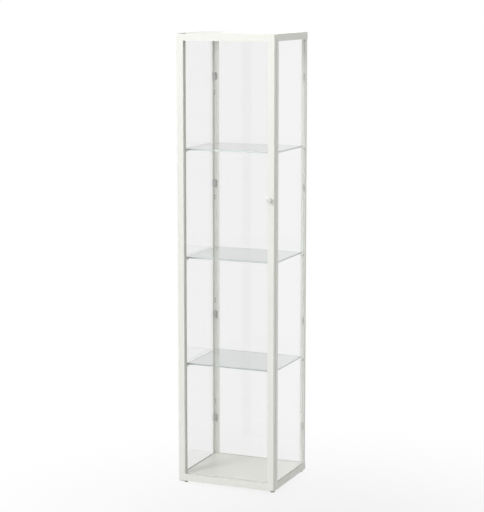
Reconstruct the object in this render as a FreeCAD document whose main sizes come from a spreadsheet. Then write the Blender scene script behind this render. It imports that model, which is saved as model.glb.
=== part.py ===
import FreeCAD, Part
import os
import re
import Sketcher

# Display cabinet: a folded steel frame glazed on three sides, glass shelves on plug-in brackets,
# and a framed glass door that turns on two pivot pins at its left edge.
# Millimetres. The origin is on the floor, in the middle of the outline that the knob completes.
# +Z is up and the door faces -Y.

# Driving dimensions, the cells of the sheet
SIZES = {
    # Whole cabinet
    "carcass_width": 345,
    "carcass_depth": 279,
    "cabinet_height": 1514,
    "foot_height": 9,
    # Folded sheet of the top, the base and the floor panel
    "sheet_gauge": 1,
    "rail_height": 23.5,
    "corner_inner_radius": 1,
    "fold_inner_radius": 0.5,
    "lip_width": 26,
    "panel_gap": 3,
    "wall_hole_diameter": 5,
    "wall_hole_spacing": 200,
    "wall_hole_drop": 7,
    # Corner posts
    "post_gauge": 1.5,
    "post_wide_flange": 22,
    "post_narrow_flange": 16,
    "post_inner_radius": 0.5,
    "pair_count": 7,
    "pair_pitch": 181,
    "pair_spread": 9.6,
    "pair_inset": 4,
    "peg_hole_diameter": 3.5,
    # Weld studs and nuts between the posts and the rails
    "stud_diameter": 4,
    "stud_length": 7,
    "stud_end_inset": 12,
    "stud_corner_inset": 5,
    "stud_clearance": 0.2,
    "nut_across_corners": 8.08,
    "nut_thick": 3.2,
    # Fixed panes and the clips that hold them
    "glass_thick": 4,
    "glass_arris": 0.5,
    "edge_strip": 10,
    "pane_clearance": 0.3,
    "pane_head": 12,
    "block_height": 2,
    "block_length": 20,
    "block_offset": 80,
    "clip_height": 24,
    "clip_lip": 3,
    "clip_round": 8,
    "clip_edge_bevel": 1,
    "clip_inner_rise": 230,
    "clip_end_inset": 152.5,
    "clip_screw_seat": 6,
    "clip_screw_inset": 5,
    "clip_screw_diameter": 3,
    "clip_screw_head_diameter": 5.6,
    "clip_screw_head_height": 2,
    "screw_clearance": 0.2,
    # Shelves, brackets and pads
    "shelf_thick": 5,
    "shelf_side_gap": 8,
    "shelf_front_gap": 16.5,
    "shelf_back_gap": 6.5,
    "bracket_plate_thick": 2,
    "bracket_plate_height": 18,
    "ledge_thick": 3,
    "ledge_rise": 4,
    "ledge_reach": 24,
    "ledge_spread": 20,
    "ledge_round": 4,
    "gusset_thick": 2,
    "peg_clearance": 0.2,
    "peg_overhang": 0.8,
    "pad_diameter": 6,
    "pad_thick": 1,
    "pad_margin": 4,
    # Door
    "door_gap": 6,
    "door_thick": 15,
    "door_side_reveal": 1,
    "door_end_reveal": 2.6,
    "stile_width": 22,
    "frame_wall": 1.2,
    "rebate_width": 8,
    "rebate_depth": 5,
    "frame_edge_radius": 0.8,
    "door_glass_thick": 4,
    "door_glass_gap": 0.5,
    "tape_thick": 0.8,
    "tape_width": 6,
    "plug_length": 18,
    "plug_clearance": 0.1,
    # Pivot hinges
    "pivot_inset": 7.5,
    "pin_diameter": 5,
    "pin_clearance": 0.05,
    "pin_reach": 12,
    "pin_point": 0.8,
    "hinge_gauge": 1.5,
    "hinge_leg_height": 18,
    "tongue_setback": 1.5,
    "tongue_round": 6,
    "hinge_screw_offset": 1.5,
    "hinge_screw_spacing": 9,
    "hinge_screw_height": 12,
    "hinge_screw_diameter": 3,
    "hinge_screw_head_diameter": 5.6,
    "hinge_screw_head_height": 0.8,
    "hinge_screw_overhang": 1.5,
    # Knob
    "knob_rise": 220.5,
    "knob_reach": 20,
    "knob_diameter": 18,
    "knob_base_diameter": 11,
    "knob_neck_diameter": 8,
    "knob_neck_length": 8,
    "knob_rim": 5,
    "knob_front_radius": 2.5,
    "knob_back_radius": 1,
    "knob_neck_radius": 2,
    "knob_bore_depth": 10,
    "knob_screw_diameter": 4,
    "knob_screw_engagement": 8,
    "knob_screw_head_diameter": 7,
    "knob_screw_head_height": 2.4,
    # Magnet catch and bumpers
    "catch_rise": 142.5,
    "catch_gap": 0.5,
    "cup_diameter": 14,
    "cup_boss_diameter": 9,
    "cup_boss_length": 5,
    "magnet_diameter": 10,
    "magnet_thick": 4,
    "bumper_diameter": 8,
    "bumper_gap": 0.3,
    "bumper_edge_radius": 1.5,
    # Feet
    "foot_diameter": 15,
    "foot_taper": 1.5,
    "foot_edge_radius": 1,
    "foot_stem_diameter": 6,
    "foot_clearance": 0.1,
    "foot_side_inset": 15,
    "foot_end_inset": 8.5,
    # One overrun for every cut
    "overrun": 1,
}

# Places worked out from the driving dimensions
PLACES = {
    "half_width": "carcass_width / 2",
    "half_depth": "carcass_depth / 2",
    "back_y": "(carcass_depth + door_gap + door_thick + knob_reach) / 2",
    "front_y": "back_y - carcass_depth",
    "mid_y": "back_y - half_depth",
    "mid_z": "(foot_height + cabinet_height) / 2",
    "lip_top": "foot_height + sheet_gauge",
    "top_under": "cabinet_height - sheet_gauge",
    "post_x": "half_width - sheet_gauge",
    "post_back": "back_y - sheet_gauge",
    "post_front": "front_y + sheet_gauge",
    "post_foot": "lip_top + fold_inner_radius",
    "post_tall": "top_under - fold_inner_radius - post_foot",
    "post_clear": "post_inner_radius + pane_clearance",
    "inner_x": "post_x - post_gauge",
    "inner_back": "post_back - post_gauge",
    "inner_front": "post_front + post_gauge",
    "pane_x": "inner_x - glass_thick",
    "pane_back": "inner_back - glass_thick",
    "pane_foot": "lip_top + block_height",
    "pane_tall": "top_under - pane_head - pane_foot",
    "panel_x": "pane_x - panel_gap",
    "panel_front": "inner_front + panel_gap",
    "panel_back": "pane_back - panel_gap",
    "shelf_x": "pane_x - shelf_side_gap",
    "shelf_front": "inner_front + shelf_front_gap",
    "shelf_back": "pane_back - shelf_back_gap",
    "shelf_pitch": "2 * pair_pitch",
    "clip_outer_rise": "(cabinet_height - foot_height) / 2 - clip_end_inset",
    "clip_edge": "edge_strip - pane_clearance",
    "pane_clear": "glass_thick + pane_clearance",
    "door_back_y": "front_y - door_gap",
    "door_front_y": "door_back_y - door_thick",
    "door_x": "half_width - door_side_reveal",
    "door_foot": "foot_height + door_end_reveal",
    "door_tall": "cabinet_height - foot_height - 2 * door_end_reveal",
    "pivot_x": "pivot_inset - door_x",
    "pivot_y": "door_back_y - door_thick / 2",
    "knob_x": "door_x - stile_width / 2",
    "knob_z": "mid_z + knob_rise",
    "catch_z": "mid_z + catch_rise",
    "hinge_screw_x": "pivot_x + hinge_screw_offset",
    "hinge_screw_grip": "hinge_gauge + sheet_gauge + post_gauge + hinge_screw_overhang",
}

UPRIGHT_SHARE = 0.99
NEAR_SHARE = 0.01
X_NORMAL = FreeCAD.Vector(1, 0, 0)
Y_NORMAL = FreeCAD.Vector(0, 1, 0)
Z_NORMAL = FreeCAD.Vector(0, 0, 1)
QUARTER_TURN = 90
FACING_FRONT = FreeCAD.Rotation(X_NORMAL, QUARTER_TURN)
FACING_RIGHT = FreeCAD.Rotation(Y_NORMAL, QUARTER_TURN)
ROOT_INDEX, START_INDEX, END_INDEX, CENTRE_INDEX = -1, 1, 2, 3

doc = FreeCAD.newDocument("display_cabinet")
sheet = doc.addObject("Spreadsheet::Sheet", "Sizes")
for row, (alias, size) in enumerate(SIZES.items(), start=1):
    sheet.set(f"A{row}", alias)
    sheet.set(f"B{row}", str(size))
    sheet.setAlias(f"B{row}", alias)
doc.recompute()
nodes = []


def expand(text):
    """Write an expression on size and place names as one on the sheet's cells."""

    def cell(match):
        word = match.group()
        if word in PLACES:
            return f"({expand(PLACES[word])})"
        return f"Sizes.{word}" if word in SIZES else word

    return re.sub(r"[a-z_]+", cell, text)


def value(text):
    """Work out an expression as a number."""
    return float(sheet.evalExpression(expand(text)))


def place(piece, x="0", y="0", z="0"):
    """Tie a piece's position to expressions."""
    for axis, text in zip("xyz", (x, y, z)):
        piece.setExpression(f"Placement.Base.{axis}", expand(text))


def keep(piece, name):
    """Name a finished sub-part and put it on the list of files to write."""
    piece.Label = name
    nodes.append(piece)
    return piece


# Sketches and features


def new_body(name, x="0", y="0", z="0"):
    """Start a body whose origin is at x, y, z."""
    piece = doc.addObject("PartDesign::Body", name)
    place(piece, x, y, z)
    return piece


def origin_part(piece, role):
    """Find one of a body's origin planes or axes."""
    return next(part for part in piece.Origin.OriginFeatures if part.Role == role)


def new_sketch(piece, plane, offset="0"):
    """Start a sketch on an origin plane, moved along the plane's normal."""
    flat = piece.newObject("Sketcher::SketchObject", "sketch")
    flat.AttachmentSupport = (origin_part(piece, plane), [""])
    flat.MapMode = "FlatFace"
    flat.setExpression("AttachmentOffset.Base.z", expand(offset))
    return flat


def hold_point(flat, geometry, end, x, y):
    """Dimension a point of a sketch from the sketch's origin."""
    for kind, text in (("DistanceX", x), ("DistanceY", y)):
        dimension = Sketcher.Constraint(kind, ROOT_INDEX, START_INDEX, geometry, end, value(text))
        index = flat.addConstraint(dimension)
        flat.setExpression(f"Constraints[{index}]", expand(text))


def outline(flat, corners):
    """Draw a closed outline of straight sides through corners given as pairs of expressions."""
    points = [FreeCAD.Vector(value(x), value(y), 0) for x, y in corners]
    following = points[1:] + points[:1]
    first = flat.GeometryCount
    sides = [flat.addGeometry(Part.LineSegment(a, b)) for a, b in zip(points, following)]
    for side, corner in zip(sides, corners):
        after = first + (side - first + 1) % len(sides)
        flat.addConstraint(Sketcher.Constraint("Coincident", side, END_INDEX, after, START_INDEX))
        hold_point(flat, side, START_INDEX, *corner)


def rectangle(flat, x_low, y_low, x_high, y_high):
    """Draw a rectangle between two corners."""
    outline(flat, [(x_low, y_low), (x_high, y_low), (x_high, y_high), (x_low, y_high)])


def circle(flat, x, y, diameter):
    """Draw a circle about a point."""
    middle = FreeCAD.Vector(value(x), value(y), 0)
    ring = flat.addGeometry(Part.Circle(middle, Z_NORMAL, value(diameter) / 2))
    hold_point(flat, ring, CENTRE_INDEX, x, y)
    index = flat.addConstraint(Sketcher.Constraint("Diameter", ring, value(diameter)))
    flat.setExpression(f"Constraints[{index}]", expand(diameter))


def pad(piece, flat, length, side="One side", backwards=False):
    """Raise a sketch into a solid."""
    feature = piece.newObject("PartDesign::Pad", "pad")
    feature.Profile = flat
    feature.SideType = side
    feature.Reversed = backwards
    feature.setExpression("Length", expand(length))
    doc.recompute()
    return feature


def pocket(piece, flat, length, side="Symmetric", backwards=False):
    """Cut a sketch into the solid, by default to both sides of the sketch."""
    before = piece.Shape.Volume
    feature = piece.newObject("PartDesign::Pocket", "pocket")
    feature.Profile = flat
    feature.SideType = side
    feature.Reversed = backwards
    feature.setExpression("Length", expand(length))
    doc.recompute()
    if not feature.Shape.Volume < before:
        raise RuntimeError(f"{piece.Name}: a pocket cuts nothing")
    return feature


def numbered(kind, members, test):
    """Name the edges or faces that pass a test."""
    return [f"{kind}{n}" for n, member in enumerate(members, start=1) if test(member)]


def is_upright(edge):
    """Tell whether an edge runs along Z."""
    return abs(edge.tangentAt(edge.FirstParameter).z) > UPRIGHT_SHARE


def lies_at(**places):
    """Make a test for edges or faces that lie at one value of x, y or z."""
    near = value("sheet_gauge") * NEAR_SHARE
    levels = {axis.upper(): value(text) for axis, text in places.items()}

    def is_at(box, axis, level):
        ends = (getattr(box, f"{axis}Min"), getattr(box, f"{axis}Max"))
        return all(abs(end - level) < near for end in ends)

    return lambda part: all(is_at(part.BoundBox, axis, level) for axis, level in levels.items())


def round_edges(piece, radius, test):
    """Round the edges of the body's tip that pass a test."""
    base = piece.Tip
    feature = piece.newObject("PartDesign::Fillet", "rounding")
    feature.Base = (base, numbered("Edge", base.Shape.Edges, test))
    feature.setExpression("Radius", expand(radius))
    doc.recompute()
    return feature


def bevel_edges(piece, size, test):
    """Bevel the edges of the body's tip that pass a test."""
    base = piece.Tip
    feature = piece.newObject("PartDesign::Chamfer", "bevel")
    feature.Base = (base, numbered("Edge", base.Shape.Edges, test))
    feature.setExpression("Size", expand(size))
    doc.recompute()
    return feature


def turned(name, profile, x="0", y="0", z="0", turn=None):
    """Turn a profile of radius and height pairs about the body's Z axis."""
    piece = new_body(name, x, y, z)
    flat = new_sketch(piece, "XZ_Plane")
    outline(flat, profile)
    feature = piece.newObject("PartDesign::Revolution", "turning")
    feature.Profile = flat
    feature.ReferenceAxis = (flat, ["V_Axis"])
    if turn:
        piece.Placement = FreeCAD.Placement(piece.Placement.Base, turn)
        place(piece, x, y, z)
    doc.recompute()
    return piece


def rod(name, diameter, length, x="0", y="0", z="0", turn=None):
    """Make a plain cylinder."""
    piece = doc.addObject("Part::Cylinder", name)
    piece.setExpression("Radius", expand(f"({diameter}) / 2"))
    piece.setExpression("Height", expand(length))
    if turn:
        piece.Placement = FreeCAD.Placement(piece.Placement.Base, turn)
    place(piece, x, y, z)
    return piece


def block(name, length, width, height, x, y, z):
    """Make a plain box from its low corner."""
    piece = doc.addObject("Part::Box", name)
    for side, text in (("Length", length), ("Width", width), ("Height", height)):
        piece.setExpression(side, expand(text))
    place(piece, x, y, z)
    return piece


def without(name, base, tool):
    """Take one solid out of another."""
    piece = doc.addObject("Part::Cut", name)
    piece.Base = base
    piece.Tool = tool
    return piece


def mirrored(piece, normal):
    """Mirror a piece about the cabinet's middle plane with that normal."""
    twin = doc.addObject("Part::Mirroring", f"{piece.Name}_twin")
    twin.Source = piece
    twin.Normal = normal
    twin.setExpression("Base.y", expand("mid_y"))
    twin.setExpression("Base.z", expand("mid_z"))
    return twin


def with_twins(pieces, *normals):
    """Add the mirror image of every piece, one plane after another."""
    for normal in normals:
        pieces = pieces + [mirrored(piece, normal) for piece in pieces]
    return pieces


def moved(piece, x="0", y="0", z="0"):
    """Repeat a piece some way from where it was made."""
    copy = doc.addObject("Part::Compound", f"{piece.Name}_moved")
    copy.Links = [piece]
    place(copy, x, y, z)
    return copy


def group(name, pieces):
    """Keep a set of like pieces as one sub-part of separate solids."""
    members = doc.addObject("Part::Compound", name)
    members.Links = pieces
    return keep(members, name)


# Folded trays


def folded_pan(name, width, depth, height, y, z, open_above):
    """Fold a pan out of sheet: a panel with a flange down or up at each side."""
    piece = new_body(name, "0", y, z)
    flat = new_sketch(piece, "XY_Plane")
    rectangle(flat, f"-({width}) / 2", f"-({depth}) / 2", f"({width}) / 2", f"({depth}) / 2")
    pad(piece, flat, height)
    closed_level, open_level = ("0", height) if open_above else (height, "0")
    round_edges(piece, "corner_inner_radius + sheet_gauge", is_upright)
    round_edges(piece, "fold_inner_radius + sheet_gauge", lies_at(z=closed_level))
    base = piece.Tip
    walls = piece.newObject("PartDesign::Thickness", "walls")
    walls.Base = (base, numbered("Face", base.Shape.Faces, lies_at(z=open_level)))
    walls.Reversed = True
    walls.setExpression("Value", expand("sheet_gauge"))
    doc.recompute()
    return piece


def drill_hinge_holes(piece, z):
    """Drill a front rail for the two screws of a hinge bracket."""
    flat = new_sketch(piece, "XZ_Plane", "half_depth")
    for step in ("0", "hinge_screw_spacing"):
        circle(flat, f"hinge_screw_x + {step}", z, "hinge_screw_diameter + screw_clearance")
    pocket(piece, flat, "2 * (sheet_gauge + overrun)")


def make_top_tray():
    """The top: a pan with its flanges down, and two holes for fixing it to a wall."""
    tray = folded_pan("top_tray", "carcass_width", "carcass_depth", "rail_height", "mid_y",
                      "cabinet_height - rail_height", open_above=False)
    drill_hinge_holes(tray, "rail_height - hinge_screw_height")
    flat = new_sketch(tray, "XZ_Plane", "-half_depth")
    for way in ("-", ""):
        circle(flat, f"{way}wall_hole_spacing / 2", "rail_height - wall_hole_drop", "wall_hole_diameter")
    pocket(tray, flat, "2 * (sheet_gauge + overrun)")
    keep(tray, "top_tray")


def make_base_frame():
    """The base: rails with a lip that carries the posts, the panes, the floor panel and the feet."""
    base = folded_pan("base_frame", "carcass_width", "carcass_depth", "rail_height", "mid_y",
                      "foot_height", open_above=True)
    drill_hinge_holes(base, "hinge_screw_height")
    window = new_sketch(base, "XY_Plane")
    rectangle(window, "lip_width - half_width", "lip_width - half_depth",
              "half_width - lip_width", "half_depth - lip_width")
    pocket(base, window, "2 * (sheet_gauge + overrun)")
    holes = new_sketch(base, "XY_Plane")
    for x in ("foot_side_inset - half_width", "half_width - foot_side_inset"):
        for y in ("foot_end_inset - half_depth", "half_depth - foot_end_inset"):
            circle(holes, x, y, "foot_stem_diameter + 2 * foot_clearance")
    pocket(base, holes, "2 * (sheet_gauge + overrun)")
    keep(base, "base_frame")


def make_base_panel():
    """The floor panel: a pan that stands on the lip, clear of the panes, flush with the rails' top."""
    panel = folded_pan("base_panel", "2 * panel_x", "panel_back - panel_front",
                       "rail_height - sheet_gauge", "(panel_back + panel_front) / 2", "lip_top",
                       open_above=False)
    keep(panel, "base_panel")


# Corner posts


def make_posts():
    """Four L-section posts of one pattern, with a column of hole pairs beside the corner."""
    post = new_body("post_back_left", "-post_x", "post_back", "post_foot")
    section = new_sketch(post, "XY_Plane")
    outline(section, [
        ("0", "0"), ("post_wide_flange", "0"), ("post_wide_flange", "-post_gauge"),
        ("post_gauge", "-post_gauge"), ("post_gauge", "-post_narrow_flange"), ("0", "-post_narrow_flange"),
    ])
    pad(post, section, "post_tall")
    round_edges(post, "post_inner_radius + post_gauge", lies_at(x="0", y="0"))
    round_edges(post, "post_inner_radius", lies_at(x="post_gauge", y="-post_gauge"))

    # Clip screw holes, and end holes for the hinge brackets
    wide_holes = new_sketch(post, "XZ_Plane")
    for rise in ("clip_inner_rise", "clip_outer_rise"):
        for way in ("-", "+"):
            circle(wide_holes, "post_gauge + clip_screw_inset", f"mid_z - post_foot {way} {rise}",
                   "clip_screw_diameter + screw_clearance")
    for step in ("0", "hinge_screw_spacing"):
        for z in ("foot_height + hinge_screw_height", "cabinet_height - hinge_screw_height"):
            circle(wide_holes, f"post_x + hinge_screw_x + {step}", f"{z} - post_foot",
                   "hinge_screw_diameter + screw_clearance")
    pocket(post, wide_holes, "2 * (post_gauge + overrun)")

    # Stud holes in the narrow flange
    narrow_holes = new_sketch(post, "YZ_Plane")
    for z in ("foot_height + stud_end_inset", "cabinet_height - stud_end_inset"):
        circle(narrow_holes, "-post_gauge - stud_corner_inset", f"{z} - post_foot",
               "stud_diameter + 2 * stud_clearance")
    pocket(post, narrow_holes, "2 * (post_gauge + overrun)")

    # Lowest hole pair, repeated up the post
    pair = new_sketch(post, "XZ_Plane")
    for way in ("-", "+"):
        circle(pair, "post_gauge + pair_inset",
               f"mid_z - post_foot - (pair_count - 1) / 2 * pair_pitch {way} pair_spread / 2",
               "peg_hole_diameter")
    lowest = pocket(post, pair, "2 * (post_gauge + overrun)")
    column = post.newObject("PartDesign::LinearPattern", "column")
    column.Originals = [lowest]
    column.Direction = (origin_part(post, "Z_Axis"), [""])
    column.Mode = "Spacing"
    column.setExpression("Offset", expand("pair_pitch"))
    column.setExpression("Occurrences", expand("pair_count"))
    post.Tip = column
    doc.recompute()

    front_left = mirrored(post, Y_NORMAL)
    cup_hole = rod("cup_hole", "cup_boss_diameter + screw_clearance", "post_gauge + 2 * overrun",
                   "knob_x", "inner_front + overrun", "catch_z", FACING_FRONT)
    keep(post, "post_back_left")
    keep(mirrored(post, X_NORMAL), "post_back_right")
    keep(front_left, "post_front_left")
    keep(without("post_front_right", mirrored(front_left, X_NORMAL), cup_hole), "post_front_right")


def make_frame_fasteners():
    """Weld studs on the rails' inner faces, and the nuts that clamp the posts to them."""
    spot = ("inner_back - stud_corner_inset", "foot_height + stud_end_inset")
    stud = rod("stud", "stud_diameter", "stud_length", "-post_x", *spot, FACING_RIGHT)
    hexagon = doc.addObject("Part::Prism", "hexagon")
    hexagon.Polygon = 6
    hexagon.setExpression("Circumradius", expand("nut_across_corners / 2"))
    hexagon.setExpression("Height", expand("nut_thick"))
    hexagon.Placement = FreeCAD.Placement(FreeCAD.Vector(), FACING_RIGHT)
    place(hexagon, "-inner_x", *spot)
    thread = rod("thread", "stud_diameter + stud_clearance", "nut_thick + 2 * overrun",
                 "-inner_x - overrun", *spot, FACING_RIGHT)
    nut = without("nut", hexagon, thread)
    group("frame_studs", with_twins([stud], X_NORMAL, Y_NORMAL, Z_NORMAL))
    group("frame_nuts", with_twins([nut], X_NORMAL, Y_NORMAL, Z_NORMAL))


# Panes


def glass_sheet(name, x_low, y_low, x_high, y_high, z, height):
    """A glass sheet with its edges arrised."""
    piece = new_body(name, z=z)
    flat = new_sketch(piece, "XY_Plane")
    rectangle(flat, x_low, y_low, x_high, y_high)
    pad(piece, flat, height)
    bevel_edges(piece, "glass_arris", lambda edge: True)
    return keep(piece, name)


def make_panes():
    """Side panes and back pane inside the posts' flanges, on soft setting blocks."""
    left = glass_sheet("side_glass_left", "-inner_x", "inner_front + edge_strip",
                       "-pane_x", "inner_back - edge_strip", "pane_foot", "pane_tall")
    keep(mirrored(left, X_NORMAL), "side_glass_right")
    glass_sheet("back_glass", "edge_strip - inner_x", "pane_back",
                "inner_x - edge_strip", "inner_back", "pane_foot", "pane_tall")
    side_block = block("side_block", "glass_thick", "block_length", "block_height",
                       "-inner_x", "mid_y + block_offset", "lip_top")
    back_block = block("back_block", "block_length", "glass_thick", "block_height",
                       "block_offset", "pane_back", "lip_top")
    group("glass_setting_blocks",
          with_twins([side_block], X_NORMAL, Y_NORMAL) + with_twins([back_block], X_NORMAL))


def make_glass_clips():
    """Rounded corner clips: each fills the strip beside the panes and laps over their edges."""
    reach = "clip_edge + clip_lip"
    corner = ("-inner_x", "inner_back", "mid_z")
    clip = new_body("clip", *corner)
    section = new_sketch(clip, "XY_Plane")
    outline(section, [
        ("0", "0"), ("clip_edge", "0"), ("clip_edge", "-pane_clear"), (reach, "-pane_clear"),
        (reach, f"-({reach})"), ("pane_clear", f"-({reach})"), ("pane_clear", "-clip_edge"),
        ("0", "-clip_edge"),
    ])
    pad(clip, section, "clip_height", side="Symmetric")
    bevel_edges(clip, "post_clear", lies_at(x="0", y="0"))
    round_edges(clip, "clip_round", lies_at(x=reach, y=f"-({reach})"))
    ends = [lies_at(z="clip_height / 2"), lies_at(z="-clip_height / 2")]
    bevel_edges(clip, "clip_edge_bevel",
                lambda edge: edge.Curve.TypeId == "Part::GeomCircle" and any(end(edge) for end in ends))
    recess = new_sketch(clip, "XZ_Plane", "clip_screw_seat")
    circle(recess, "clip_screw_inset", "0", "clip_screw_head_diameter + screw_clearance")
    pocket(clip, recess, reach, side="One side", backwards=True)
    hole = new_sketch(clip, "XZ_Plane", "clip_screw_seat")
    circle(hole, "clip_screw_inset", "0", "clip_screw_diameter + screw_clearance")
    pocket(clip, hole, "clip_screw_seat + overrun", side="One side")

    screw = turned("clip_screw", [
        ("0", "-post_gauge"), ("clip_screw_diameter / 2", "-post_gauge"),
        ("clip_screw_diameter / 2", "clip_screw_seat"), ("clip_screw_head_diameter / 2", "clip_screw_seat"),
        ("clip_screw_head_diameter / 2", "clip_screw_seat + clip_screw_head_height"),
        ("0", "clip_screw_seat + clip_screw_head_height"),
    ], "clip_screw_inset - inner_x", "inner_back", "mid_z", FACING_FRONT)
    for name, piece in (("glass_clips", clip), ("clip_screws", screw)):
        upper = [moved(piece, z=rise) for rise in ("clip_inner_rise", "clip_outer_rise")]
        group(name, with_twins(upper, Z_NORMAL, X_NORMAL, Y_NORMAL))


# Shelves


def make_shelf_bracket():
    """A bracket with two pegs for a hole pair, a ledge shaped round the panes' edges, and a gusset."""
    bracket = new_body("bracket", "-inner_x", "inner_back", "mid_z")
    plate = new_sketch(bracket, "XZ_Plane")
    rectangle(plate, "post_clear", "-bracket_plate_height / 2", "clip_edge", "bracket_plate_height / 2")
    pad(bracket, plate, "bracket_plate_thick")
    pegs = new_sketch(bracket, "XZ_Plane")
    for way in ("-", ""):
        circle(pegs, "pair_inset", f"{way}pair_spread / 2", "peg_hole_diameter - peg_clearance")
    pad(bracket, pegs, "post_gauge + peg_overhang", backwards=True)
    ledge = new_sketch(bracket, "XY_Plane", "ledge_rise - ledge_thick")
    outline(ledge, [
        ("pane_clear", "0"), ("clip_edge", "0"), ("clip_edge", "-pane_clear"),
        ("ledge_spread", "-pane_clear"), ("ledge_spread", "-ledge_reach"), ("pane_clear", "-ledge_reach"),
    ])
    pad(bracket, ledge, "ledge_thick")
    round_edges(bracket, "ledge_round", lies_at(x="ledge_spread", y="-ledge_reach"))
    gusset = new_sketch(bracket, "YZ_Plane", "(pane_clear + clip_edge) / 2")
    outline(gusset, [
        ("0", "-bracket_plate_height / 2"), ("-bracket_plate_thick", "-bracket_plate_height / 2"),
        ("pad_diameter - ledge_reach", "ledge_rise - ledge_thick"), ("0", "ledge_rise - ledge_thick"),
    ])
    pad(bracket, gusset, "gusset_thick", side="Symmetric")
    return bracket


def make_shelves():
    """Three shelves, every second hole pair apart, each on four brackets with soft pads."""
    bracket = make_shelf_bracket()
    cushion = rod("cushion", "pad_diameter", "pad_thick", "ledge_spread - pad_margin - inner_x",
                  "inner_back - ledge_reach + pad_margin", "mid_z + ledge_rise")
    brackets = with_twins([bracket], X_NORMAL, Y_NORMAL)
    cushions = with_twins([cushion], X_NORMAL, Y_NORMAL)
    for level, lift in (("lower", "-shelf_pitch"), ("middle", "0"), ("upper", "shelf_pitch")):
        glass_sheet(f"shelf_{level}", "-shelf_x", "shelf_front", "shelf_x", "shelf_back",
                    f"mid_z + {lift} + ledge_rise + pad_thick", "shelf_thick")
        group(f"shelf_brackets_{level}", [moved(piece, z=lift) for piece in brackets])
        group(f"shelf_pads_{level}", [moved(piece, z=lift) for piece in cushions])


# Door


def frame_section(inset):
    """Corners of the door frame's rebated section, drawn in by an inset, as pairs of width and depth."""
    seat = f"door_thick - rebate_depth - {inset}"
    nose = f"stile_width - rebate_width - {inset}"
    back = f"door_thick - {inset}"
    side = f"stile_width - {inset}"
    return [(inset, inset), (side, inset), (side, seat), (nose, seat), (nose, back), (inset, back)]


def make_door_frame():
    """Stiles over the full height, and rails between them whose ends fill the stiles' rebates."""
    stile = new_body("door_stile_hinge_side", "-door_x", "door_front_y", "door_foot")
    section = new_sketch(stile, "XY_Plane")
    for inset in ("0", "frame_wall"):
        outline(section, frame_section(inset))
    pad(stile, section, "door_tall")
    on_front, on_inner_side = lies_at(y="0"), lies_at(x="stile_width")
    round_edges(stile, "frame_edge_radius", lambda edge: on_front(edge) and not on_inner_side(edge))

    rail = new_body("door_rail_bottom", "stile_width - door_x", "door_front_y", "door_foot")
    section = new_sketch(rail, "YZ_Plane")
    for inset in ("0", "frame_wall"):
        outline(section, [(depth, width) for width, depth in frame_section(inset)])
    length = "2 * (door_x - stile_width)"
    pad(rail, section, length)
    round_edges(rail, "frame_edge_radius", lies_at(y="0", z="0"))
    for offset, backwards in (("0", True), (length, False)):
        filler = new_sketch(rail, "YZ_Plane", offset)
        rectangle(filler, "door_thick - rebate_depth", "0", "door_thick", "stile_width - rebate_width")
        pad(rail, filler, "rebate_width", backwards=backwards)

    screw_hole = rod("knob_screw_hole", "knob_screw_diameter + screw_clearance", "door_thick + 2 * overrun",
                     "knob_x", "door_back_y + overrun", "knob_z", FACING_FRONT)
    knob_stile = without("door_stile_knob_side", mirrored(stile, X_NORMAL), screw_hole)
    keep(stile, "door_stile_hinge_side")
    keep(knob_stile, "door_stile_knob_side")
    keep(rail, "door_rail_bottom")
    keep(mirrored(rail, Z_NORMAL), "door_rail_top")


def make_door_glass():
    """The door's pane in the rebate, on a ring of bonding tape."""
    half_wide = "(door_x - stile_width + rebate_width - door_glass_gap)"
    foot = "(door_foot + stile_width - rebate_width + door_glass_gap)"
    seat = "(door_back_y - rebate_depth)"
    glass_sheet("door_glass", f"-{half_wide}", f"{seat} + tape_thick", half_wide,
                f"{seat} + tape_thick + door_glass_thick", foot, f"2 * (mid_z - {foot})")
    light_x = "(door_x - stile_width)"
    light_foot = "(door_foot + stile_width)"
    outer = block("tape_outside", f"2 * ({light_x} + tape_width)", "tape_thick",
                  f"2 * (mid_z - {light_foot} + tape_width)", f"-{light_x} - tape_width", seat,
                  f"{light_foot} - tape_width")
    inner = block("tape_inside", f"2 * {light_x}", "tape_thick + 2 * overrun",
                  f"2 * (mid_z - {light_foot})", f"-{light_x}", f"{seat} - overrun", light_foot)
    keep(without("glazing_tape", outer, inner), "glazing_tape")


def stile_plug(name):
    """A moulded plug that fills the lower end of the hinge-side stile."""
    plug = new_body(name, "-door_x", "door_front_y", "door_foot")
    section = new_sketch(plug, "XY_Plane")
    outline(section, frame_section("(frame_wall + plug_clearance)"))
    pad(plug, section, "plug_length")
    return plug


def make_stile_plugs():
    """Bored plugs that turn on the hinge pins, and plain ones in the other stile."""
    bush = stile_plug("hinge_bush_bottom")
    bore = new_sketch(bush, "XY_Plane")
    circle(bore, "pivot_inset", "door_thick / 2", "pin_diameter + 2 * pin_clearance")
    pocket(bush, bore, "2 * (plug_length + overrun)")
    keep(bush, "hinge_bush_bottom")
    keep(mirrored(bush, Z_NORMAL), "hinge_bush_top")
    cap = mirrored(stile_plug("cap"), X_NORMAL)
    group("stile_end_caps", with_twins([cap], Z_NORMAL))


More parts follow.
